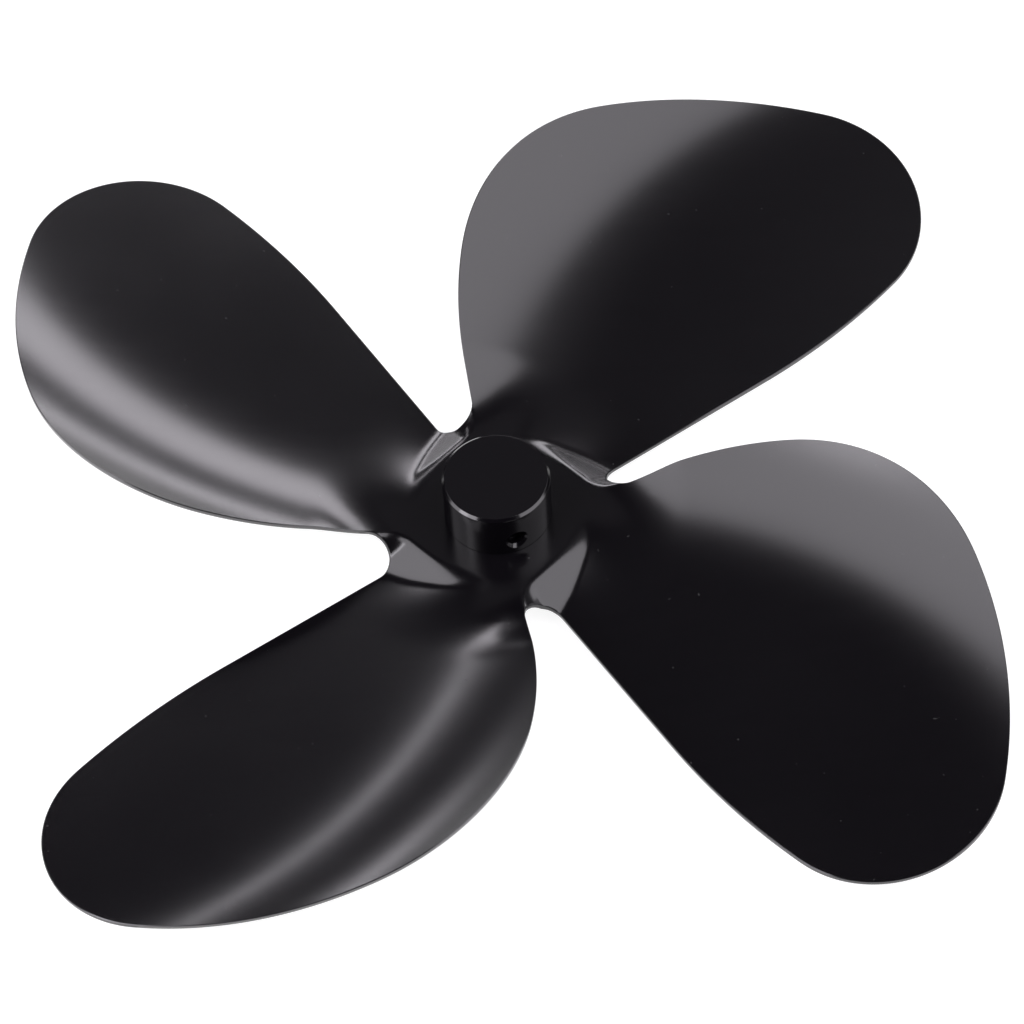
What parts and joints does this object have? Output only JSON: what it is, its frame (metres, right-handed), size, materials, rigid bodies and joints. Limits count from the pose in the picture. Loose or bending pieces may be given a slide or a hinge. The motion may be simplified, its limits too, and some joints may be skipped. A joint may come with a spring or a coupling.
{
  "type": "fan propeller",
  "caption": "Pressed sheet fan propeller with broad curled blades on a turned hub that a radial set screw clamps to a motor shaft",
  "frame": {"origin": "on the hub's axis, in the plane of the hub's rear end, which is the lowest plane of the part", "axes": "+Z is the axis of rotation and points out of the front, towards the closed nose of the hub; -Y is the side that the picture was taken from"},
  "size_m": [0.1418, 0.1418, 0.0167],
  "materials": {
    "blade_sheet": "black anodised, brushed under the coat, satin gloss",
    "hub": "turned, black anodised, satin gloss",
    "set_screw": "black oxide",
    "backing_washer": "plain stamped steel",
    "lock_washer": "spring steel, zinc plated",
    "hub_nut": "zinc plated"
  },
  "bodies": {
    "propeller": {"blade_sheet": "blade_sheet", "hub": "hub", "backing_washer": "backing_washer", "lock_washer": "lock_washer", "hub_nut": "hub_nut"},
    "set_screw": {"set_screw": "set_screw"}
  },
  "joints": [
    {"name": "set_screw_travel", "type": "slide", "parent": "propeller", "child": "set_screw", "axis": [0.3173, -0.9483, 0], "range_m": [-0.0006, 0.0062]}
  ]
}
